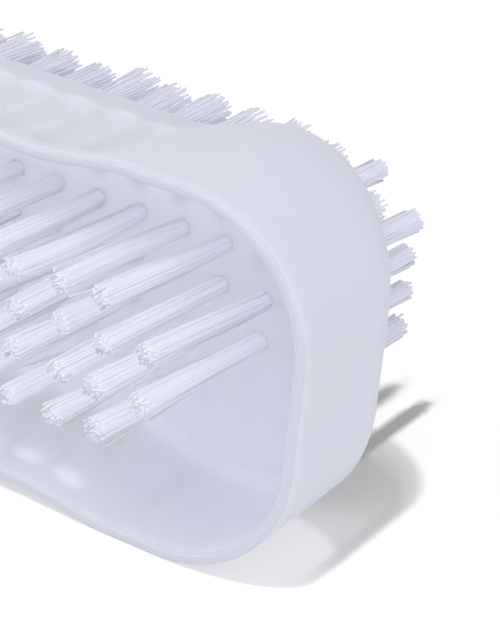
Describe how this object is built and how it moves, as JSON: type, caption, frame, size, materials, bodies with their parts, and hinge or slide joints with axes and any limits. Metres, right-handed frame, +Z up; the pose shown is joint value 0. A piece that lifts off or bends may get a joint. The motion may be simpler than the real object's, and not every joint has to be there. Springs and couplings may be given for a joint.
{
  "type": "nail brush",
  "caption": "Two-sided nail brush: a waisted, fluted, milky plastic tray with bristle tufts inside its rim and on its back, lying on one long side.",
  "frame": {"origin": "centre of the bounding box in plan, at the surface that the brush lies on", "axes": "+X along the brush, -Y out of the open rim, +Y out of the back tufts, +Z up across the width"},
  "size_m": [0.086, 0.043, 0.04],
  "materials": {
    "body_plastic": "satin, milky translucent",
    "bristle": "fine white nylon filament",
    "anchor_wire": "flat drawn wire"
  },
  "bodies": {
    "root": {"body": "body_plastic", "front_tufts_row_1": "bristle", "front_tufts_row_2": "bristle", "front_tufts_row_3": "bristle", "front_tufts_row_4": "bristle", "back_tufts_row_1": "bristle", "back_tufts_row_2": "bristle", "back_tufts_row_3": "bristle", "back_tufts_row_4": "bristle", "back_tufts_row_5": "bristle", "back_tufts_row_6": "bristle", "front_anchors": "anchor_wire", "back_anchors": "anchor_wire"}
  },
  "joints": []
}
